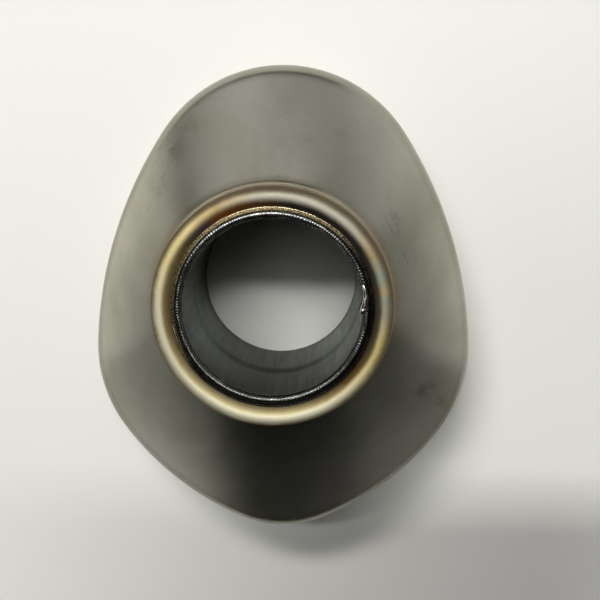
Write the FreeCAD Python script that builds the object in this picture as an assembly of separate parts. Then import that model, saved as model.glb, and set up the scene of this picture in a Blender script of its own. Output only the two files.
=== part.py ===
"""End cap of a muffler: a pressed sheet shell, the outlet tube and the weld between them.

Millimetres. Z is up and the base plane is z = 0. The origin is the centre of the outline's box.
"""
import math
import os

import FreeCAD
import Part
from FreeCAD import Vector

# Sheet and tube stock
sheet_thickness = 1.2
tube_outer_radius = 25.4
tube_wall = 1.5

# Outline of the skirt: tangent arcs from the narrow end's middle down the right side, mirrored to the left.
# Each arc has a radius and the angle in degrees that the outline turns along it.
# A fifth arc closes the half.
narrow_end_radius = 39.6
narrow_end_turn = 55.4
side_radius = 117.0
side_turn = 31.0
corner_radius = 40.4
corner_turn = 39.3
lower_side_radius = 83.1
lower_side_turn = 29.7
tube_axis_to_narrow_end = 61.5
tube_axis_offset_x = -1.7

# Heights and radii of the pressed shell, on its outer face
skirt_height = 25.5
skirt_bend_radius = 6.0
collar_fillet_radius = 3.0
lip_centre_height = 50.3
lip_roll_radius = 2.4
collar_wall_height = 3.0
lip_inner_flange = 2.0

# The tube: its lower end, its upper end under the weld, and the small step that narrows its bore below
tube_end_height = 1.5
tube_top_below_lip_centre = 0.7
bore_step_height = 23.4
bore_step_depth = 0.3

# The weld: a round bead over the tube's end with a flatter toe out to the lip, and the drop where it ends
bead_centre_inside_wall = 0.3
bead_radius = 1.1
bead_above_tube_top = 0.3
bead_groove_angle = 20.0
toe_above_lip_centre = 0.2
drop_radius = 1.25
drop_angle = 2.8
drop_centre_inside_wall = 1.15
drop_above_tube_top = 1.0

# Clearance, counts of the skins' control points and the modeller's tolerances
lip_to_tube_clearance = 0.05
points_around = 96
sections_per_bend = 6
sewing_tolerance = 1e-4
level_tolerance = 1e-6

# Sizes that follow from the ones above
outline_arcs = [
    (narrow_end_radius, narrow_end_turn),
    (side_radius, side_turn),
    (corner_radius, corner_turn),
    (lower_side_radius, lower_side_turn),
]
tube_inner_radius = tube_outer_radius - tube_wall
lip_inner_radius = tube_outer_radius + lip_to_tube_clearance
lip_centre_radius = lip_inner_radius + lip_roll_radius
collar_radius = lip_centre_radius + lip_roll_radius
collar_foot_height = lip_centre_height - collar_wall_height
collar_joint_height = lip_centre_height - collar_wall_height / 2
tube_top_height = lip_centre_height - tube_top_below_lip_centre
bead_centre_radius = tube_inner_radius - bead_centre_inside_wall
drop_centre_radius = tube_inner_radius - drop_centre_inside_wall


def outline_half():
    """Arcs of the right half as (centre x, centre y, radius, first heading, last heading).

    The headings turn clockwise from +X in radians. The chain starts at y = 0 and x = 0.
    """
    x, y, heading = 0.0, 0.0, 0.0
    arcs = []
    for radius, turn in outline_arcs:
        centre_x = x - radius * math.sin(heading)
        centre_y = y - radius * math.cos(heading)
        last = heading + math.radians(turn)
        arcs.append((centre_x, centre_y, radius, heading, last))
        heading = last
        x = centre_x + radius * math.sin(heading)
        y = centre_y + radius * math.cos(heading)
    closing_radius = x / math.sin(heading)
    arcs.append((0.0, y - closing_radius * math.cos(heading), closing_radius, heading, math.pi))
    return arcs


half_arcs = outline_half()
outline_length = half_arcs[-1][2] - half_arcs[-1][1]
top_y = outline_length / 2
tube_axis = Vector(tube_axis_offset_x, top_y - tube_axis_to_narrow_end, 0)


def distance_to_outline(angle, inset):
    """Distance from the tube axis to the outline, moved in by inset, along a ray at angle."""
    dx, dy = math.cos(angle), math.sin(angle)
    for side in (1, -1):
        for centre_x, centre_y, radius, first, last in half_arcs:
            to_x = tube_axis.x - side * centre_x
            to_y = tube_axis.y - (centre_y + top_y)
            along = to_x * dx + to_y * dy
            reach = along ** 2 - (to_x ** 2 + to_y ** 2) + (radius - inset) ** 2
            if reach < 0:
                continue
            distance = -along + math.sqrt(reach)
            hit_x = side * (to_x + distance * dx)
            hit_y = to_y + distance * dy
            heading = math.atan2(hit_x, hit_y)
            if distance > 0 and first - 1e-9 <= heading <= last + 1e-9:
                return distance
    raise ValueError("the ray misses the outline")


def meridian(rim, inset):
    """Points (radius, height) of one skin, from the base plane up to the collar.

    The bend and the fillet are tangent arcs, with a straight flank between them.
    """
    bend = skirt_bend_radius - inset
    fillet = collar_fillet_radius + inset
    bend_r = rim - bend
    fillet_r = collar_radius - inset + fillet
    run = bend_r - fillet_r
    rise = collar_foot_height - skirt_height
    slope = math.atan2(rise, run) - math.asin((bend + fillet) / math.hypot(run, rise))
    points = [(rim, skirt_height * part) for part in (0.0, 0.35, 0.65, 0.85)]
    sweep = math.pi / 2 - slope
    for step in range(sections_per_bend + 1):
        turn = sweep * step / sections_per_bend
        points.append((bend_r + bend * math.cos(turn), skirt_height + bend * math.sin(turn)))
    foot_r = fillet_r - fillet * math.sin(slope)
    foot_z = collar_foot_height - fillet * math.cos(slope)
    start_r, start_z = points[-1]
    for part in (0.2, 0.5, 0.8):
        points.append((start_r + (foot_r - start_r) * part, start_z + (foot_z - start_z) * part))
    for step in range(sections_per_bend + 1):
        turn = sweep * (1 - step / sections_per_bend)
        points.append((fillet_r - fillet * math.cos(turn), collar_foot_height - fillet * math.sin(turn)))
    for part in (0.2, 0.4, 0.7, 1.0):
        height = collar_foot_height + (collar_joint_height - collar_foot_height) * part
        points.append((collar_radius - inset, height))
    return points


def skin(inset):
    """One skin of the shell below the lip: a smooth surface through the meridians all round."""
    angles = [2 * math.pi * i / points_around for i in range(points_around)]
    columns = [meridian(distance_to_outline(angle, inset), inset) for angle in angles]
    around = [float(i) for i in range(points_around + 1)]
    rows = []
    for level in range(len(columns[0])):
        points = []
        for angle, column in zip(angles, columns):
            radius, height = column[level]
            points.append(tube_axis + Vector(radius * math.cos(angle), radius * math.sin(angle), height))
        ring = Part.BSplineCurve()
        ring.interpolate(Points=points, PeriodicFlag=True, Parameters=around)
        rows.append(ring.getPoles())
    upward = [0.0]
    for before, after in zip(columns[0], columns[0][1:]):
        upward.append(upward[-1] + math.dist(before, after))
    poles = []
    for place in range(ring.NbPoles):
        rib = Part.BSplineCurve()
        rib.interpolate(Points=[row[place] for row in rows], Parameters=upward)
        poles.append(rib.getPoles())
    surface = Part.BSplineSurface()
    multiplicities = (ring.getMultiplicities(), rib.getMultiplicities())
    knots = (ring.getKnots(), rib.getKnots())
    degrees = (ring.Degree, rib.Degree)
    surface.buildFromPolesMultsKnots(poles, *multiplicities, *knots, True, False, *degrees)
    return surface.toShape()


def on_axis(radius, height):
    """Point of a profile in the half plane that runs from the tube axis along +X."""
    return tube_axis + Vector(radius, 0, height)


def arc(centre_radius, centre_height, radius, first, middle, last):
    """Arc of a profile, with its angles in degrees from the outward direction."""
    ends = []
    for degrees in (first, middle, last):
        across = radius * math.cos(math.radians(degrees))
        up = radius * math.sin(math.radians(degrees))
        ends.append(on_axis(centre_radius + across, centre_height + up))
    return Part.Arc(*ends).toShape()


def line(start, end):
    """Straight stretch of a profile between two (radius, height) points."""
    return Part.makeLine(on_axis(*start), on_axis(*end))


def is_level(edge, height):
    """Whether an edge lies flat at the given height."""
    box = edge.BoundBox
    return abs(box.ZMin - height) + box.ZLength < level_tolerance


def lower_shell():
    """Skirt, flank and collar up to the joint height, as one solid between the outer and inner skins."""
    skins = [skin(0.0), skin(sheet_thickness)]
    faces = [side.Faces[0] for side in skins]
    for height in (0.0, collar_joint_height):
        wires = []
        for side in skins:
            rims = [edge for edge in side.Edges if is_level(edge, height)]
            wires.append(Part.Wire(rims))
        faces.extend(Part.makeFace(wires, "Part::FaceMakerBullseye").Faces)
    sewn = Part.makeCompound(faces)
    sewn.sewShape(sewing_tolerance)
    return Part.makeSolid(sewn.Shells[0])


def rolled_lip():
    """Collar wall above the joint height, rolled over inwards and down along the tube."""
    inner_roll = lip_roll_radius - sheet_thickness
    flange_radius = lip_inner_radius + sheet_thickness
    flange_end = lip_centre_height - lip_inner_flange
    wall_radius = collar_radius - sheet_thickness
    profile = [
        line((collar_radius, collar_joint_height), (collar_radius, lip_centre_height)),
        arc(lip_centre_radius, lip_centre_height, lip_roll_radius, 0, 90, 180),
        line((lip_inner_radius, lip_centre_height), (lip_inner_radius, flange_end)),
        line((lip_inner_radius, flange_end), (flange_radius, flange_end)),
        line((flange_radius, flange_end), (flange_radius, lip_centre_height)),
        arc(lip_centre_radius, lip_centre_height, inner_roll, 180, 90, 0),
        line((wall_radius, lip_centre_height), (wall_radius, collar_joint_height)),
        line((wall_radius, collar_joint_height), (collar_radius, collar_joint_height)),
    ]
    return Part.Face(Part.Wire(profile)).revolve(tube_axis, Vector(0, 0, 1), 360)


def end_cap_shell():
    """Pressed shell in one sheet: skirt, flank, collar and rolled lip."""
    return lower_shell().fuse([rolled_lip()], sewing_tolerance)


def outlet_tube():
    """Tube whose bore is a little narrower below the step."""
    lower_radius = tube_inner_radius - bore_step_depth
    corners = [
        (tube_outer_radius, tube_end_height),
        (tube_outer_radius, tube_top_height),
        (tube_inner_radius, tube_top_height),
        (tube_inner_radius, bore_step_height),
        (lower_radius, bore_step_height),
        (lower_radius, tube_end_height),
        (tube_outer_radius, tube_end_height),
    ]
    face = Part.Face(Part.makePolygon([on_axis(*corner) for corner in corners]))
    return face.revolve(tube_axis, Vector(0, 0, 1), 360)


def weld_bead():
    """Ring of weld on the tube's top end, between its bore and the lip, with the drop at its end."""
    bead_height = tube_top_height + bead_above_tube_top
    wall_angle = math.degrees(math.acos(bead_centre_inside_wall / bead_radius))
    groove = math.radians(bead_groove_angle)
    root = (tube_inner_radius, bead_height - math.sqrt(bead_radius ** 2 - bead_centre_inside_wall ** 2))
    groove_bottom = (
        bead_centre_radius + bead_radius * math.cos(groove),
        bead_height + bead_radius * math.sin(groove),
    )
    toe = (lip_inner_radius, lip_centre_height + toe_above_lip_centre)
    profile = [
        arc(bead_centre_radius, bead_height, bead_radius, 360 - wall_angle, 180, bead_groove_angle),
        line(groove_bottom, toe),
        line(toe, (lip_inner_radius, tube_top_height)),
        line((lip_inner_radius, tube_top_height), (tube_inner_radius, tube_top_height)),
        line((tube_inner_radius, tube_top_height), root),
    ]
    ring = Part.Face(Part.Wire(profile)).revolve(tube_axis, Vector(0, 0, 1), 360)
    angle = math.radians(drop_angle)
    place = Vector(drop_centre_radius * math.cos(angle), drop_centre_radius * math.sin(angle), 0)
    height = Vector(0, 0, tube_top_height + drop_above_tube_top)
    drop = Part.makeSphere(drop_radius, tube_axis + place + height)
    return ring.fuse(drop).removeSplitter()


def main():
    os.makedirs("parts", exist_ok=True)
    pieces = {"end_cap_shell": end_cap_shell(), "outlet_tube": outlet_tube(), "weld_bead": weld_bead()}
    for name, shape in pieces.items():
        solid = shape.Solids[0]
        box = solid.BoundBox
        print(name, len(shape.Solids), "valid" if solid.isValid() else "not valid", round(solid.Volume, 1))
        print("  from", [round(v, 3) for v in (box.XMin, box.YMin, box.ZMin)])
        print("  to", [round(v, 3) for v in (box.XMax, box.YMax, box.ZMax)])
        solid.exportStep("parts/" + name + ".step")


if __name__ == "__main__":
    main()
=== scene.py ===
"""Looks of the muffler end cap: pressed shell, outlet tube and weld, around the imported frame.

Blender works in metres. Sizes of the part are in millimetres, as in its source, and become metres at
the meshes. The room, its lights and the places where a finish changes are in metres.
"""
import math

import bpy
import mathutils
import numpy as np
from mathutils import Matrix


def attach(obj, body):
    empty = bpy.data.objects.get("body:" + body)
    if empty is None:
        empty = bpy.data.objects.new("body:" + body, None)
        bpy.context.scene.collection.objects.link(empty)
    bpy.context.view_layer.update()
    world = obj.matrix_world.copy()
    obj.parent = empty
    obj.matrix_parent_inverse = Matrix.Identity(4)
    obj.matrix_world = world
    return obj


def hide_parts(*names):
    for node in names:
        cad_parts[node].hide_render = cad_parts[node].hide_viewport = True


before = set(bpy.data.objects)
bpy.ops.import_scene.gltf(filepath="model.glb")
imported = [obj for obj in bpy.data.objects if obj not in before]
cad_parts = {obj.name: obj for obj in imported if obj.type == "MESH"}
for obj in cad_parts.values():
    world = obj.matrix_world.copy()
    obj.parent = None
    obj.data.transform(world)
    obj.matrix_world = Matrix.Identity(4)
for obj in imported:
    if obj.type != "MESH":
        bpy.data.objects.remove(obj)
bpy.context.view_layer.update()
MM = 0.001
rng = np.random.default_rng(7)

# Sheet, tube and outline; the outline is pairs of radius and turn in degrees
SHEET = 1.2
TUBE_OUTER, BORE, LOWER_BORE = 25.4, 23.9, 23.6
OUTLINE = [(39.6, 55.4), (117.0, 31.0), (40.4, 39.3), (83.1, 29.7)]
AXIS_TO_NARROW_END, AXIS_X = 61.5, -1.7

# Heights and radii of the shell's outer face
SKIRT, BEND, FILLET = 25.5, 6.0, 3.0
LIP_Z, ROLL, WALL, FLANGE = 50.3, 2.4, 3.0, 2.0
LIP_INNER = 25.45
LIP_CENTRE = LIP_INNER + ROLL
COLLAR = LIP_CENTRE + ROLL

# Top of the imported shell, which the finer mesh stays under
CREST_TOP = 52.69

# Tube ends, and the bore step with the run of its ramp
TUBE_END, TUBE_TOP = 1.5, 49.6
STEP_Z, STEP_RUN = 23.4, 1.3

# Lower edge of the tube: its rounding, the straight bore's end above it, and the burr
EDGE, PLAIN_END = 0.12, 0.5
BURR, BURR_OUT, BURR_UP = 0.05, 0.04, 0.1

# Weld bead: centre radius and height, its own radius, its arc in degrees, and its toe on the lip
BEAD_R, BEAD_Z, BEAD = 23.6, 49.9, 1.1
BEAD_FROM, BEAD_TO = 285.83, 20.0
TOE = [(24.83, 50.28), (24.98, 50.44), (25.14, 50.52), (25.3, 50.5), (LIP_INNER, 50.38)]

# Scales of the weld: how many, how high, and the share of each that rises
RIPPLES, RIPPLE, RIPPLE_RISE = 210, 0.07, 0.7

# Drop of weld metal: its start and length in degrees, half width and taper, radius at the head and
# how far the tail moves out, height at the tail and how much higher the head is
DROP_FROM, DROP_TURN = -2.2, 20.0
DROP_HALF, DROP_TAPER = 1.45, 0.90
DROP_LEAN, DROP_OUT = 22.30, 1.10
DROP_TOP, DROP_RISE = 50.45, 0.30

# Shallow crater in the drop: depth, place and width as shares
CRATER, CRATER_PLACE, CRATER_WIDTH = 0.10, 0.2, 0.07

# Camera: leans in radians, place from the tube axis at the base plane, and the photograph's frame
CAMERA_LEAN_X, CAMERA_LEAN_Y, CAMERA_ROLL = (math.radians(d) for d in (-10.786, 1.031, 0.638))
CAMERA_PLACE = (9.578, 34.452, 218.025)
FOCAL_PIXELS, IMAGE_PIXELS, SENSOR = 690.0, 600.0, 36.0

# Table, and the flag that shades the object as the phone and hand did
TABLE_LOW, TABLE_HIGH = (-3, -3), (3, 3)
FLAG_LOW, FLAG_HIGH, FLAG_Z = (-0.050, -0.020), (0.134, 0.048), 0.2205

# Room, with radiances next to a white table of about 1
CEILING = 1.5
WALL_DISTANCE, WALL_ELEVATION, WALL_SIZE = 2.5, 10.5, (1.9, 0.95)
BACKDROP, BACKDROP_COLOUR = 0.5, (0.97, 1.0, 0.98, 1)
NEUTRAL, GREENISH = (1.0, 0.995, 0.975), (0.965, 1.0, 0.95)

# Lights on the ceiling: name, x and y, size along x and along y, radiance, colour
TABLE_CEILING = [
    ("table_strip_near", -0.25, 0.74, 1.3, 0.14, 33.0, GREENISH),
    ("table_strip_far", -0.5, 1.4, 0.9, 0.35, 29.0, NEUTRAL),
    ("table_fill", -0.35, 0.1, 0.9, 0.5, 1.0, NEUTRAL),
]
METAL_CEILING = [
    ("metal_strip_near", -0.20, 0.56, 1.1, 0.30, 22.0, NEUTRAL),
    ("metal_strip_right", 0.5, -0.05, 1.0, 0.3, 11.0, NEUTRAL),
    ("metal_strip_far", 0.3, 1.75, 1.0, 0.5, 0.5, NEUTRAL),
    ("metal_back_left", -1.6, 3.1, 2.2, 2.2, 0.62, NEUTRAL),
    ("metal_upper_left", -3.5, 2.0, 1.6, 3.6, 0.60, NEUTRAL),
    ("metal_back_right", 1.1, 3.1, 3.2, 2.2, 0.27, NEUTRAL),
]

# Lights low on the walls: name, azimuth in degrees from +X, radiance
TABLE_WALLS = [("table_wall_far", 90, 2.0), ("table_wall_far_left", 135, 1.5)]
METAL_WALLS = [
    ("metal_wall_right", 0, 0.6), ("metal_wall_far_right", 45, 0.74), ("metal_wall_far", 90, 0.5),
    ("metal_wall_far_left", 135, 0.85), ("metal_wall_left", 180, 0.85),
    ("metal_wall_near_left", 225, 0.5), ("metal_wall_near_right", 315, 0.2),
]


def half_outline():
    """Tangent arcs of the right half: centre, radius, first and last heading."""
    x, y, heading = 0.0, 0.0, 0.0
    arcs = []
    for radius, turn in OUTLINE:
        cx = x - radius * math.sin(heading)
        cy = y - radius * math.cos(heading)
        last = heading + math.radians(turn)
        arcs.append((cx, cy, radius, heading, last))
        heading = last
        x = cx + radius * math.sin(heading)
        y = cy + radius * math.cos(heading)
    closing = x / math.sin(heading)
    arcs.append((0.0, y - closing * math.cos(heading), closing, heading, math.pi))
    return arcs


ARCS = half_outline()
TOP_Y = (ARCS[-1][2] - ARCS[-1][1]) / 2
AXIS_Y = TOP_Y - AXIS_TO_NARROW_END


def rim_distance(angle, inset):
    """Distance from the tube axis to the outline moved in by inset, along a ray at angle."""
    dx, dy = math.cos(angle), math.sin(angle)
    for side in (1, -1):
        for cx, cy, radius, first, last in ARCS:
            to_x = AXIS_X - side * cx
            to_y = AXIS_Y - (cy + TOP_Y)
            along = to_x * dx + to_y * dy
            reach = along ** 2 - (to_x ** 2 + to_y ** 2) + (radius - inset) ** 2
            if reach < 0:
                continue
            distance = math.sqrt(reach) - along
            heading = math.atan2(side * (to_x + distance * dx), to_y + distance * dy)
            if distance > 0 and first - 1e-9 <= heading <= last + 1e-9:
                return distance
    raise ValueError("the ray misses the outline")


def arc_points(centre_r, centre_z, radius, first, last, count):
    """Points of an arc in the (radius, height) plane, with its angles in radians from outward."""
    turns = np.linspace(first, last, count)
    return [(centre_r + radius * math.cos(t), centre_z + radius * math.sin(t)) for t in turns]


def meridian(rim, inset):
    """Skin of the shell from the base plane to the lip's inner end, as (radius, height) points."""
    wall_r = COLLAR - inset
    foot = LIP_Z - WALL
    bend_r = rim - BEND
    fillet_r = COLLAR + FILLET
    run, rise = bend_r - fillet_r, foot - SKIRT
    slope = math.atan2(rise, run) - math.asin((BEND + FILLET) / math.hypot(run, rise))
    sweep = math.pi / 2 - slope
    points = [(rim - inset, z) for z in np.linspace(0.0, SKIRT, 9)[:-1]]
    points += arc_points(bend_r, SKIRT, BEND - inset, 0, sweep, 15)
    flank_end = arc_points(fillet_r, foot, -(FILLET + inset), sweep, 0, 13)
    flank = np.linspace(points[-1], flank_end[0], 21)[1:-1]
    points += [tuple(point) for point in flank]
    points += flank_end
    points += [(wall_r, z) for z in np.linspace(foot, LIP_Z, 5)[1:-1]]
    points += arc_points(LIP_CENTRE, LIP_Z, ROLL - inset, 0, math.pi, 27)
    points += [(LIP_INNER + inset, z) for z in np.linspace(LIP_Z, LIP_Z - FLANGE, 4)[1:]]
    return points


def new_mesh(name, verts, faces, smooth_angle=40.0):
    """Smooth-shaded object whose edges stay sharp past smooth_angle degrees."""
    mesh = bpy.data.meshes.new(name)
    mesh.from_pydata([tuple(v) for v in verts], [], faces)
    mesh.validate()
    mesh.update()
    for poly in mesh.polygons:
        poly.use_smooth = True
    mesh.set_sharp_from_angle(angle=math.radians(smooth_angle))
    obj = bpy.data.objects.new(name, mesh)
    bpy.context.scene.collection.objects.link(obj)
    return obj


def ring_faces(rows, around):
    """Quads between closed rings, and between the last ring and the first."""
    faces = []
    for row in range(rows):
        above = (row + 1) % rows
        for i in range(around):
            j = (i + 1) % around
            faces.append((row * around + i, row * around + j, above * around + j, above * around + i))
    return faces


def lathe(name, profile, around, shape):
    """Closed profile of (radius, height) points turned about the tube axis; shape moves its rings."""
    angles = np.arange(around) * 2 * math.pi / around
    rings = []
    for row, (radius, height) in enumerate(profile):
        r, z = shape(row, angles, np.full(around, radius), np.full(around, height))
        rings.append(np.stack([AXIS_X + r * np.cos(angles), AXIS_Y + r * np.sin(angles), z], -1))
    return new_mesh(name, np.concatenate(rings) * MM, ring_faces(len(profile), around))


def slow_waves(count, fineness):
    """Smooth closed random curve between -1 and 1."""
    spectrum = np.fft.rfft(rng.normal(0, 1, count))
    order = np.arange(len(spectrum))
    spectrum[0] = 0
    curve = np.fft.irfft(spectrum * np.exp(-((order / fineness) ** 2)), count)
    return curve / np.abs(curve).max()


def make_shell(around=320):
    """The pressed sheet: skirt, bend, sloping flank, collar and rolled lip, one thickness throughout.

    The attribute "across" runs from 0 at the collar to 1 at the rim.
    """
    angles = np.arange(around) * 2 * math.pi / around
    outer = np.array([meridian(rim_distance(a, 0.0), 0.0) for a in angles])
    inner = np.array([meridian(rim_distance(a, SHEET) + SHEET, SHEET) for a in angles])
    skin = np.concatenate([outer, inner[:, ::-1]], axis=1)
    r, z = skin[..., 0], np.minimum(skin[..., 1], CREST_TOP)
    x = AXIS_X + r * np.cos(angles)[:, None]
    y = AXIS_Y + r * np.sin(angles)[:, None]
    verts = np.stack([x, y, z], -1).transpose(1, 0, 2).reshape(-1, 3) * MM
    obj = new_mesh("shell_pressing", verts, ring_faces(skin.shape[1], around))
    rims = outer[:, 0, 0][:, None]
    across = np.clip((r - COLLAR) / (rims - COLLAR), 0, 1).transpose(1, 0).reshape(-1)
    obj.data.attributes.new("across", "FLOAT", "POINT").data.foreach_set("value", across)
    return obj


def make_tube(around=360):
    """Outlet tube with its bore step and a slightly ragged lower edge."""
    profile = [(TUBE_OUTER, TUBE_END + EDGE), (TUBE_OUTER, TUBE_TOP), (BORE, TUBE_TOP)]
    profile += [(BORE, z) for z in np.linspace(TUBE_TOP, STEP_Z + STEP_RUN, 12)[1:]]
    profile += [(LOWER_BORE, z) for z in np.linspace(STEP_Z, TUBE_END + PLAIN_END, 10)]
    burr_row = len(profile)
    profile += [(LOWER_BORE + BURR_OUT, TUBE_END + BURR_UP)]
    profile += [(LOWER_BORE + EDGE, TUBE_END), (TUBE_OUTER - EDGE, TUBE_END)]
    burr = BURR * np.clip(slow_waves(around, 60), 0, 1)

    def ragged(row, angles, r, z):
        if row == burr_row:
            return r - burr, z
        return r, z

    return lathe("tube_turned", profile, around, ragged)


def make_bead(around=1500):
    """Rippled bead: overlapping scales, a wandering crest and a thin raised toe against the lip."""
    first, last = math.radians(BEAD_FROM), math.radians(BEAD_TO)
    points = arc_points(BEAD_R, BEAD_Z, BEAD, first, last, 22)
    rippled = len(points)
    points += TOE + [(LIP_INNER, TUBE_TOP), (BORE, TUBE_TOP)]
    wander = slow_waves(around, 14)
    uneven = slow_waves(around, 60)
    swell = slow_waves(around, 30)

    def ripple(row, angles, r, z):
        if row >= rippled:
            return r, z
        turn = math.atan2(z[0] - BEAD_Z, r[0] - BEAD_R)
        step = angles * RIPPLES / (2 * math.pi) + 0.8 * wander + 0.5 * uneven + 0.4 * math.cos(turn)
        cycle = step % 1.0
        scale = np.where(cycle < RIPPLE_RISE, cycle / RIPPLE_RISE, (1 - cycle) / (1 - RIPPLE_RISE)) - 0.5
        height = RIPPLE * scale * (0.7 + 0.9 * swell) + RIPPLE * wander
        height = height * min(1.0, row / 2.0, (rippled - 1 - row) / 2.0)
        return r + height * math.cos(turn), z + height * math.sin(turn)

    return lathe("weld_bead_rippled", points, around, ripple)


def make_drop(steps=46, segments=32):
    """Comma of frozen metal where the weld stops: its head leans into the bore, its tail is on the bead."""
    verts = []
    for along in np.linspace(0.0, 1.0, steps + 1):
        angle = math.radians(DROP_FROM + DROP_TURN * along)
        ends = math.sqrt(max(0.0, 1 - (2 * along - 1) ** 6))
        half = ends * (DROP_HALF - DROP_TAPER * along ** 0.7)
        lean = DROP_LEAN + DROP_OUT * min(1.0, along * 1.7)
        top = DROP_TOP + DROP_RISE * (1 - along)
        centre = np.array([AXIS_X + lean * math.cos(angle), AXIS_Y + lean * math.sin(angle), top])
        out = np.array([math.cos(angle), math.sin(angle), 0.0])
        up = np.array([0.0, 0.0, 0.95])
        dent = CRATER * math.exp(-((along - CRATER_PLACE) / CRATER_WIDTH) ** 2)
        for j in range(segments):
            t = 2 * math.pi * j / segments
            reach = half * (1 - dent * max(0.0, math.sin(t)))
            verts.append(centre + reach * (out * math.cos(t) + up * math.sin(t)))
    faces = ring_faces(steps + 1, segments)[:steps * segments]
    return new_mesh("weld_drop", np.array(verts) * MM, faces, 60.0)


class Nodes:
    """Adds shader nodes to one node tree and links them."""

    def __init__(self, tree):
        self.tree = tree
        self.tree.nodes.clear()

    def add(self, kind, inputs=None, **settings):
        """New node; a socket among the inputs is linked, and any other value is set."""
        node = self.tree.nodes.new(kind)
        for key, value in settings.items():
            setattr(node, key, value)
        for socket, source in (inputs or {}).items():
            if isinstance(source, bpy.types.NodeSocket):
                self.tree.links.new(source, node.inputs[socket])
            else:
                node.inputs[socket].default_value = source
        return node

    def maths(self, operation, a, b=0.0, clamp=False):
        return self.add("ShaderNodeMath", {0: a, 1: b}, operation=operation, use_clamp=clamp).outputs[0]

    def vector(self, operation, a, b):
        return self.add("ShaderNodeVectorMath", {0: a, 1: b}, operation=operation).outputs[0]

    def measure(self, operation, a, b=(0.0, 0.0, 0.0)):
        """Number that a vector operation gives, such as a distance."""
        return self.add("ShaderNodeVectorMath", {0: a, 1: b}, operation=operation).outputs["Value"]

    def noise(self, place, scale, detail=4.0, rough=0.55, lean=0.0):
        inputs = {"Vector": place, "Scale": scale, "Detail": detail, "Roughness": rough, "Distortion": lean}
        return self.add("ShaderNodeTexNoise", inputs).outputs[0]

    def wobble(self, value, noise, amount):
        """Value moved up and down by the noise, by up to half of amount."""
        return self.maths("ADD", value, self.maths("MULTIPLY", self.maths("SUBTRACT", noise, 0.5), amount))

    def smooth(self, value, low, high, to_low=0.0, to_high=1.0):
        """Soft step that goes from to_low at low to to_high at high; low may be the larger."""
        inputs = {0: value, 1: low, 2: high, 3: to_low, 4: to_high}
        return self.add("ShaderNodeMapRange", inputs, interpolation_type="SMOOTHSTEP").outputs[0]

    def ramp(self, factor, stops):
        """Colour ramp of (place, colour or grey value) stops."""
        node = self.add("ShaderNodeValToRGB", {0: factor})
        elements = node.color_ramp.elements
        while len(elements) < len(stops):
            elements.new(0.5)
        for element, (place, value) in zip(elements, stops):
            element.position = place
            element.color = (*(value if isinstance(value, tuple) else (value,) * 3), 1.0)
        return node.outputs[0]

    def mix(self, factor, a, b, blend="MIX"):
        inputs = {0: factor, 6: a, 7: b}
        return self.add("ShaderNodeMix", inputs, data_type="RGBA", blend_type=blend).outputs[2]

    def stain(self, base, mask, share, colour):
        """Base with a colour over it where the mask is, at most by share."""
        return self.mix(self.maths("MULTIPLY", mask, share), base, colour)

    def surface(self, inputs):
        """Principled shader on the material's output."""
        shader = self.add("ShaderNodeBsdfPrincipled", inputs)
        self.add("ShaderNodeOutputMaterial", {0: shader.outputs[0]})

    def bump(self, height, strength, distance):
        inputs = {"Height": height, "Strength": strength, "Distance": distance}
        return self.add("ShaderNodeBump", inputs).outputs[0]


def screen(red, green, blue):
    """Linear colour of a screen colour from 0 to 255."""
    shares = [value / 255.0 for value in (red, green, blue)]
    return tuple(s / 12.92 if s <= 0.04045 else ((s + 0.055) / 1.055) ** 2.4 for s in shares)


def solid(red, green, blue):
    """The same with full alpha, for a colour socket."""
    return (*screen(red, green, blue), 1.0)


def new_material(name):
    """Empty node material, and what adds its nodes."""
    material = bpy.data.materials.new(name)
    material.use_nodes = True
    return material, Nodes(material.node_tree)


def metal(name, build):
    """Metal whose colour, roughness and bump sockets come from build, which gets the axis fields."""
    material, n = new_material(name)
    colour, rough, normal = build(n, *axis_fields(n))
    n.surface({"Base Color": colour, "Roughness": rough, "Metallic": 1.0, "Normal": normal})
    return material


def axis_fields(n):
    """Object position, and radius, turn (0 to 1 from +X) and height about the tube axis, in metres."""
    place = n.add("ShaderNodeTexCoord").outputs["Object"]
    moved = n.vector("SUBTRACT", place, (AXIS_X * MM, AXIS_Y * MM, 0.0))
    x, y, z = n.add("ShaderNodeSeparateXYZ", {0: moved}).outputs
    flat = n.add("ShaderNodeCombineXYZ", {0: x, 1: y}).outputs[0]
    radius = n.measure("LENGTH", flat)
    turns = n.maths("DIVIDE", n.maths("ARCTAN2", y, x), 2 * math.pi)
    return place, radius, n.maths("FRACT", n.maths("ADD", turns, 1.0)), z


def by_degrees(*stops):
    """Ramp stops from angles in degrees and screen colours."""
    return [(degrees / 360.0, screen(*colour)) for degrees, colour in stops]


# Heat tints of the lip, as screen colours; the white and the bright straw are painted highlight
GREY, TEAL, COPPER, TAN = (168, 162, 142), (152, 165, 152), (194, 167, 122), (178, 158, 120)
SILVER, DULL_GOLD, GOLD = (188, 184, 168), (180, 160, 116), (206, 189, 128)
STRAW, PALE_STRAW, WHITE_STRAW_HIGHLIGHT = (218, 204, 153), (218, 213, 186), (244, 240, 215)
DARK_OXIDE, DARK_BROWN, BROWN, OLIVE = (72, 67, 62), (97, 87, 68), (144, 118, 66), (140, 124, 84)
AMBER, PURPLE, DULL_STRAW, BRIGHT_STRAW_HIGHLIGHT = (176, 115, 52), (124, 102, 118), (174, 155, 108), (230, 216, 168)
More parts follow.
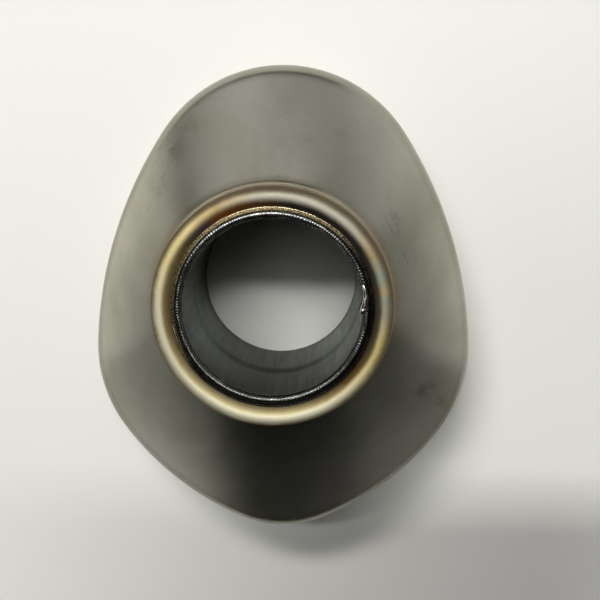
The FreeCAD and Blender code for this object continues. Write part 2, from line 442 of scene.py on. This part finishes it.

# Fields of heat tint round the lip's crest and inner side, whiter at the bottom as painted highlight
CREST_TINT_AND_HIGHLIGHT = by_degrees(
    (0, GREY), (6, TEAL), (12, COPPER), (19, TEAL), (30, TAN), (48, SILVER), (95, SILVER),
    (118, DULL_GOLD), (135, STRAW), (152, STRAW), (180, PALE_STRAW), (215, PALE_STRAW),
    (272, WHITE_STRAW_HIGHLIGHT), (292, WHITE_STRAW_HIGHLIGHT), (340, GOLD), (360, GREY))
INNER_TINT_AND_HIGHLIGHT = by_degrees(
    (8, DARK_BROWN), (35, DARK_OXIDE), (78, DARK_OXIDE), (119, AMBER), (129, PURPLE), (138, OLIVE),
    (152, DULL_STRAW), (195, DULL_STRAW), (240, BRIGHT_STRAW_HIGHLIGHT), (283, BRIGHT_STRAW_HIGHLIGHT),
    (315, BROWN), (345, DARK_BROWN))

# Radii and heights in metres between which the lip's finish fades in, from the foot and from outside
LIP_OUTSIDE, LIP_FOOT = (0.0308, 0.0303), (0.0470, 0.0485)
INNER_TO_CREST, CREST_TO_FOOT = (0.0263, 0.0275), (0.0283, 0.0299)
# Radii in metres of the brown band round the lip's foot, from outside and from inside
FOOT_BAND_OUTSIDE, FOOT_BAND_INSIDE = (0.0335, 0.0308), (0.0300, 0.0306)

# Painted shade of the weld and of its groove at each turn, painted highlight on its toe, and their radii in
# metres
WELD_PAINTED_SHADE = [
    (0.0, 0.5), (0.1, 0.2), (0.25, 0.1), (0.4, 0.25), (0.5, 0.6), (0.62, 0.55), (0.8, 0.5), (0.9, 0.75)]
GROOVE_PAINTED_SHADE = [
    (0.0, 0.75), (0.1, 0.45), (0.25, 0.15), (0.4, 0.35), (0.5, 0.6), (0.62, 0.9), (0.85, 0.95), (1.0, 0.8)]
TOE_HIGHLIGHT_SHARE = [(0.08, 0.0), (0.14, 0.7), (0.28, 0.8), (0.42, 0.9), (0.52, 0.5), (0.6, 0.0)]
GROOVE_PLACE, TOE_PLACE = (0.0233, 0.0239), (0.02445, 0.0247)

# Painted shade round the bore at each turn; heights in metres of painted shade at its top, its end band and
# specks
BORE_PAINTED_SHADE = [
    (0.0, 0.2), (0.25, 0.5), (0.42, 0.55), (0.55, 0.1), (0.66, 0.75), (0.74, 1.0), (0.82, 0.8), (0.9, 0.1)]
UPPER_PAINTED_SHADE, END_BAND, END_SPECKS = (0.034, 0.047), (0.0080, 0.0030), (0.0100, 0.0020)

# Painted shade of the flank, dark near the lip and light at the rim, and how much shows at each turn:
# little at the top
FLANK_PAINTED_SHADE = [(0.0, 0.40), (0.2, 0.50), (0.4, 0.62), (0.6, 0.78), (0.85, 0.98), (1.0, 1.0)]
FLANK_SHADE_SHARE = [
    (0.0, 1.0), (0.08, 0.85), (0.17, 0.25), (0.25, 0.0), (0.33, 0.2), (0.42, 0.7), (0.5, 1.0), (1.0, 1.0)]

# Painted shade over the bend that dims its reflection: colour, where it starts towards the rim, share at
# each turn
BEND_SHADE_COLOUR, BEND_PLACE = (0.50, 0.49, 0.46, 1), (0.86, 0.95)
BEND_SHADE_SHARE = [
    (0.0, 0.5), (0.1, 0.6), (0.2, 0.8), (0.3, 0.8), (0.4, 0.6), (0.5, 0.55), (0.65, 0.85), (0.9, 0.85),
    (1.0, 0.5)]

# Worn and stained places on the flank: x and y in millimetres, radius, and how dark
SMUDGES = [
    (-31.0, 42.0, 7.0, 0.55), (-26.0, 47.5, 6.0, 0.45), (-33.5, 34.0, 5.0, 0.40),
    (29.0, 26.0, 4.5, 0.35), (39.5, -20.0, 5.5, 0.55), (44.0, -25.0, 4.0, 0.45),
    (-29.0, -24.5, 4.0, 0.25), (-31.0, -41.0, 3.5, 0.25), (8.0, 50.0, 9.0, 0.20),
    (-43.0, 2.0, 6.0, 0.20),
]
# Fine dark scratches on the flank: both ends in millimetres, and half the width
SCRATCHES = [
    ((26.5, 26.8), (28.8, 23.0), 0.10), ((29.6, 25.6), (30.6, 22.6), 0.08),
    ((31.0, 18.6), (33.0, 15.0), 0.10), ((27.0, 33.0), (27.9, 31.2), 0.07),
    ((-32.0, 36.0), (-28.0, 41.5), 0.07), ((-36.0, 27.0), (-33.4, 31.0), 0.06),
    ((-26.2, 2.0), (-27.8, 1.8), 0.13), ((-4.6, 28.9), (-4.8, 29.8), 0.14),
]


def spots(n, place, marks, ragged):
    """Sum of soft round masks, seen from above and broken up by noise."""
    flat = n.vector("MULTIPLY", place, (1.0, 1.0, 0.0))
    total = 0.0
    for x, y, size, dark in marks:
        away = n.measure("DISTANCE", flat, (x * MM, y * MM, 0.0))
        total = n.maths("ADD", total, n.smooth(away, size * MM, 0.15 * size * MM, 0.0, dark))
    return n.maths("MULTIPLY", total, n.smooth(ragged, 0.42, 0.62), clamp=True)


def strokes(n, place, marks):
    """Thin straight marks between two points, seen from above."""
    flat = n.vector("MULTIPLY", place, (1.0, 1.0, 0.0))
    total = 0.0
    for start, end, half in marks:
        first = np.array([*start, 0.0]) * MM
        run = np.array([*end, 0.0]) * MM - first
        offset = n.vector("SUBTRACT", flat, tuple(first))
        along = n.measure("DOT_PRODUCT", offset, tuple(run / (run @ run)))
        share = n.maths("MAXIMUM", n.maths("MINIMUM", along, 1.0), 0.0)
        nearest = n.add("ShaderNodeVectorMath", {0: tuple(run), "Scale": share}, operation="SCALE")
        away = n.measure("DISTANCE", offset, nearest.outputs[0])
        total = n.maths("ADD", total, n.smooth(away, half * MM, 0.3 * half * MM), clamp=True)
    return total


def flank_colour(n, place, radius, turn, cloud, patch):
    """Steel of skirt and flank with its marks, painted shade next to the lip and at the bend, and a brown
    band at the lip's foot.
    """
    base = n.ramp(cloud, [
        (0.34, screen(182, 180, 163)), (0.5, screen(195, 193, 177)), (0.66, screen(205, 202, 191))])
    base = n.stain(base, n.smooth(patch, 0.50, 0.78), 0.28, solid(158, 154, 142))
    base = n.stain(base, spots(n, place, SMUDGES, patch), 0.9, solid(126, 122, 110))
    base = n.stain(base, strokes(n, place, SCRATCHES), 0.5, solid(70, 66, 58))
    across = n.add("ShaderNodeAttribute", attribute_name="across").outputs["Fac"]
    # Painted shade from the lip to the rim, on the sides and at the bottom
    lip_to_rim_shade = n.ramp(n.wobble(across, cloud, 0.25), FLANK_PAINTED_SHADE)
    base = n.mix(n.ramp(turn, FLANK_SHADE_SHARE), base, lip_to_rim_shade, "MULTIPLY")
    # Painted shade over the bend, dimming its reflection of the table
    bend = n.maths("MULTIPLY", n.smooth(across, *BEND_PLACE), n.ramp(turn, BEND_SHADE_SHARE))
    base = n.mix(bend, base, BEND_SHADE_COLOUR, "MULTIPLY")
    # Brown band round the lip's foot
    foot = n.maths(
        "MULTIPLY", n.smooth(radius, *FOOT_BAND_OUTSIDE), n.smooth(radius, *FOOT_BAND_INSIDE))
    return n.stain(base, foot, 0.55, solid(128, 110, 82))


def lip_colour(n, place, radius, turn, patch):
    """Colour of the rolled lip: heat tint with painted highlight at the bottom on its inner side and crest,
    and brown at its foot.
    """
    uneven = n.wobble(radius, patch, 0.0012)
    swirl = n.noise(place, 240.0, 3.0, 0.6)
    stray = n.maths("FRACT", n.wobble(turn, swirl, 0.05))
    # Heat tint round the lip, whitened at the bottom as painted highlight
    inside, crest = n.ramp(stray, INNER_TINT_AND_HIGHLIGHT), n.ramp(stray, CREST_TINT_AND_HIGHLIGHT)
    tint = n.mix(n.smooth(uneven, *INNER_TO_CREST), inside, crest)
    return n.mix(n.smooth(uneven, *CREST_TO_FOOT), tint, solid(116, 102, 78))


def shell_build(n, place, radius, turn, z):
    """Satin steel with a fine grain and painted shade on the flank; on the lip heat tinted with painted
    highlight, and duller.
    """
    grain = n.noise(place, 1500.0, 3.0, 0.6)
    fine = n.noise(place, 5200.0, 2.0, 0.5)
    cloud = n.noise(place, 26.0, 4.0, 0.55, 0.5)
    patch = n.noise(place, 110.0, 6.0, 0.65, 0.8)
    on_lip = n.maths("MULTIPLY", n.smooth(radius, *LIP_OUTSIDE), n.smooth(z, *LIP_FOOT))
    flank = flank_colour(n, place, radius, turn, cloud, patch)
    colour = n.mix(on_lip, flank, lip_colour(n, place, radius, turn, patch))
    satin = n.ramp(grain, [(0.3, 0.28), (0.7, 0.36)])
    dull = n.ramp(grain, [(0.3, 0.63), (0.7, 0.71)])
    height = n.maths("ADD", n.maths("MULTIPLY", grain, 0.6), n.maths("MULTIPLY", fine, 0.4))
    return colour, n.mix(on_lip, satin, dull), n.bump(height, 0.30, 0.00005)


def tube_build(n, place, radius, turn, z):
    """Dull bore with streaks along the tube, painted shade round it and near its top, a darker band at its
    lower end and specks at its edge.
    """
    drawn = n.vector("MULTIPLY", place, (1.0, 1.0, 0.05))
    streak = n.noise(drawn, 900.0, 4.0, 0.6)
    band = n.noise(drawn, 130.0, 3.0, 0.5)
    cloud = n.noise(place, 90.0, 5.0, 0.6)
    specks = n.smooth(n.noise(place, 1100.0, 3.0, 0.6), 0.62, 0.70)
    base = n.ramp(cloud, [(0.3, screen(110, 117, 108)), (0.7, screen(146, 153, 143))])
    base = n.mix(n.smooth(band, 0.42, 0.66, 0.0, 0.55), base, solid(64, 68, 62))
    base = n.mix(n.smooth(streak, 0.5, 0.75, 0.0, 0.06), base, solid(52, 54, 48))
    # Painted shade round the bore, and at its top against the light it reflects there
    base = n.mix(n.ramp(turn, BORE_PAINTED_SHADE), base, solid(46, 48, 43))
    base = n.mix(n.smooth(z, *UPPER_PAINTED_SHADE, 0.0, 0.75), base, solid(40, 41, 36))
    # Darker band at the lower end
    base = n.stain(base, n.smooth(z, *END_BAND), 0.8, solid(44, 46, 42))
    base = n.mix(n.maths("MULTIPLY", specks, n.smooth(z, *END_SPECKS)), base, solid(24, 24, 22))
    return base, n.ramp(streak, [(0.3, 0.34), (0.7, 0.46)]), n.bump(streak, 0.10, 0.00005)


def weld_build(n, place, radius, turn, z):
    """Bright metal with blue and straw patches under dark oxide that varies round the weld as painted
    shade, a groove darkened by painted shade, and a straw painted highlight on the toe.
    """
    fine = n.noise(place, 2600.0, 3.0, 0.6)
    patch = n.noise(place, 330.0, 4.0, 0.6)
    hue = n.noise(place, 120.0, 3.0, 0.5)
    base = n.ramp(patch, [
        (0.32, screen(116, 117, 114)), (0.55, screen(158, 160, 158)), (0.72, screen(206, 207, 203))])
    tint = n.ramp(hue, [
        (0.36, screen(150, 172, 178)), (0.5, screen(190, 190, 186)), (0.62, screen(192, 182, 164))])
    colour = n.mix(0.45, base, tint, "MULTIPLY")
    # Dark oxide, laid on by turn as painted shade
    colour = n.mix(n.ramp(turn, WELD_PAINTED_SHADE), colour, solid(70, 66, 62))
    # Painted shade in the groove, by turn
    in_groove = n.smooth(n.wobble(radius, patch, 0.0004), *GROOVE_PLACE)
    groove = n.maths("MULTIPLY", in_groove, n.ramp(turn, GROOVE_PAINTED_SHADE))
    colour = n.mix(groove, colour, solid(26, 24, 24))
    # Straw painted highlight along the toe
    toe = n.maths("MULTIPLY", n.smooth(radius, *TOE_PLACE), n.ramp(turn, TOE_HIGHLIGHT_SHARE))
    colour = n.mix(toe, colour, solid(206, 190, 150))
    return colour, n.ramp(fine, [(0.3, 0.20), (0.7, 0.38)]), n.bump(fine, 0.3, 0.00004)


def drop_build(n, place, radius, turn, z):
    """Bright frozen metal of the drop, barely tarnished."""
    cloud = n.noise(place, 420.0, 3.0, 0.6)
    base = n.ramp(cloud, [(0.35, screen(150, 146, 138)), (0.65, screen(206, 204, 198))])
    return base, n.ramp(cloud, [(0.35, 0.16), (0.65, 0.26)]), n.bump(cloud, 0.06, 0.00005)


def table_material():
    """Matt painted table, very slightly mottled."""
    material, n = new_material("pale_table")
    place = n.add("ShaderNodeTexCoord").outputs["Object"]
    colour = n.ramp(n.noise(place, 3.0), [(0.3, screen(239, 236, 233)), (0.7, screen(243, 240, 236))])
    bump = n.bump(n.noise(place, 900.0, 3.0), 0.1, 0.00005)
    n.surface({"Base Color": colour, "Roughness": 0.6, "Normal": bump})
    return material


def black_material():
    """Matt black of the flag."""
    material, n = new_material("flag_black")
    place = n.add("ShaderNodeTexCoord").outputs["Object"]
    colour = n.ramp(n.noise(place, 40.0), [(0.3, 0.015), (0.7, 0.025)])
    n.surface({"Base Color": colour, "Roughness": 0.7})
    return material


def flat_sheet(name, low, high, z):
    """Level rectangle at height z."""
    corners = [(low[0], low[1], z), (high[0], low[1], z), (high[0], high[1], z), (low[0], high[1], z)]
    obj = new_mesh(name, corners, [(0, 1, 2, 3)])
    return obj


def soft_light(name, place, size, radiance, for_metal, colour=NEUTRAL):
    """Rectangle of light that faces down; only the metal or only the table sees it."""
    data = bpy.data.lights.new(name, "AREA")
    data.shape = "RECTANGLE"
    data.size, data.size_y = size
    data.energy = math.pi * size[0] * size[1] * radiance
    data.color = colour
    obj = bpy.data.objects.new(name, data)
    bpy.context.scene.collection.objects.link(obj)
    obj.location = place
    obj.visible_camera = False
    obj.visible_glossy = for_metal
    obj.visible_diffuse = not for_metal
    return obj


def wall_light(name, azimuth, radiance, for_metal):
    """Light low on a wall, facing the object."""
    turn, lift = math.radians(azimuth), math.radians(WALL_ELEVATION)
    direction = (math.cos(lift) * math.cos(turn), math.cos(lift) * math.sin(turn), math.sin(lift))
    place = WALL_DISTANCE * mathutils.Vector(direction)
    light = soft_light(name, place, WALL_SIZE, radiance, for_metal)
    light.rotation_euler = (-place).to_track_quat("-Z", "Y").to_euler()


def make_lights(ceiling, walls, for_metal):
    """One set of lights, seen only by the metal or only by the table."""
    for name, x, y, size_x, size_y, radiance, colour in ceiling:
        soft_light(name, (x, y, CEILING), (size_x, size_y), radiance, for_metal, colour)
    for name, azimuth, radiance in walls:
        wall_light(name, azimuth, radiance, for_metal)


def make_room():
    """Pale backdrop behind the table, seen by the camera and not a source of light."""
    world = bpy.data.worlds.new("room")
    bpy.context.scene.world = world
    world.use_nodes = True
    n = Nodes(world.node_tree)
    back = n.add("ShaderNodeBackground", {"Color": BACKDROP_COLOUR, "Strength": BACKDROP})
    n.add("ShaderNodeOutputWorld", {0: back.outputs[0]})
    world.cycles_visibility.diffuse = False
    world.cycles_visibility.glossy = False


def rotation(axis, angle):
    """Turn about one axis as a 3 by 3 matrix."""
    c, s = math.cos(angle), math.sin(angle)
    i, j = [(1, 2), (2, 0), (0, 1)][axis]
    matrix = np.eye(3)
    matrix[i, i], matrix[i, j], matrix[j, i], matrix[j, j] = c, -s, s, c
    return matrix


def make_camera():
    """Camera solved from the tube's rings, the lip and the outline."""
    data = bpy.data.cameras.new("camera")
    data.sensor_width = SENSOR
    data.lens = FOCAL_PIXELS / IMAGE_PIXELS * SENSOR
    data.clip_start = 0.01
    camera = bpy.data.objects.new("camera", data)
    bpy.context.scene.collection.objects.link(camera)
    pose = np.eye(4)
    pose[:3, :3] = rotation(2, CAMERA_ROLL) @ rotation(1, CAMERA_LEAN_Y) @ rotation(0, CAMERA_LEAN_X)
    pose[:3, 3] = (np.array(CAMERA_PLACE) + np.array([AXIS_X, AXIS_Y, 0.0])) * MM
    camera.matrix_world = mathutils.Matrix(pose.tolist())
    bpy.context.scene.camera = camera


# Pieces of the part, which stand for the CAD nodes
shell = make_shell()
tube = make_tube()
bead = make_bead()
drop = make_drop()
shell.data.materials.append(metal("satin_steel_tint_and_painted_light", shell_build))
tube.data.materials.append(metal("dull_tube_steel", tube_build))
bead.data.materials.append(metal("weld_oxide_and_painted_light", weld_build))
drop.data.materials.append(metal("weld_drop_bright", drop_build))
pieces = [
    (shell, "end_cap_shell", "shell_steel"), (tube, "outlet_tube", "tube_steel"),
    (bead, "weld_bead", "weld_metal"), (drop, "weld_bead", "weld_metal"),
]
for piece, node, slot in pieces:
    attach(piece, "root")
    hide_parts(node)

# Stage, lights and camera
table = flat_sheet("table", TABLE_LOW, TABLE_HIGH, 0.0)
table.data.materials.append(table_material())
flag = flat_sheet("flag", FLAG_LOW, FLAG_HIGH, FLAG_Z)
flag.data.materials.append(black_material())
flag.visible_camera = False
make_lights(TABLE_CEILING, TABLE_WALLS, for_metal=False)
make_lights(METAL_CEILING, METAL_WALLS, for_metal=True)
make_room()
make_camera()
bpy.context.scene.view_settings.view_transform = "Standard"
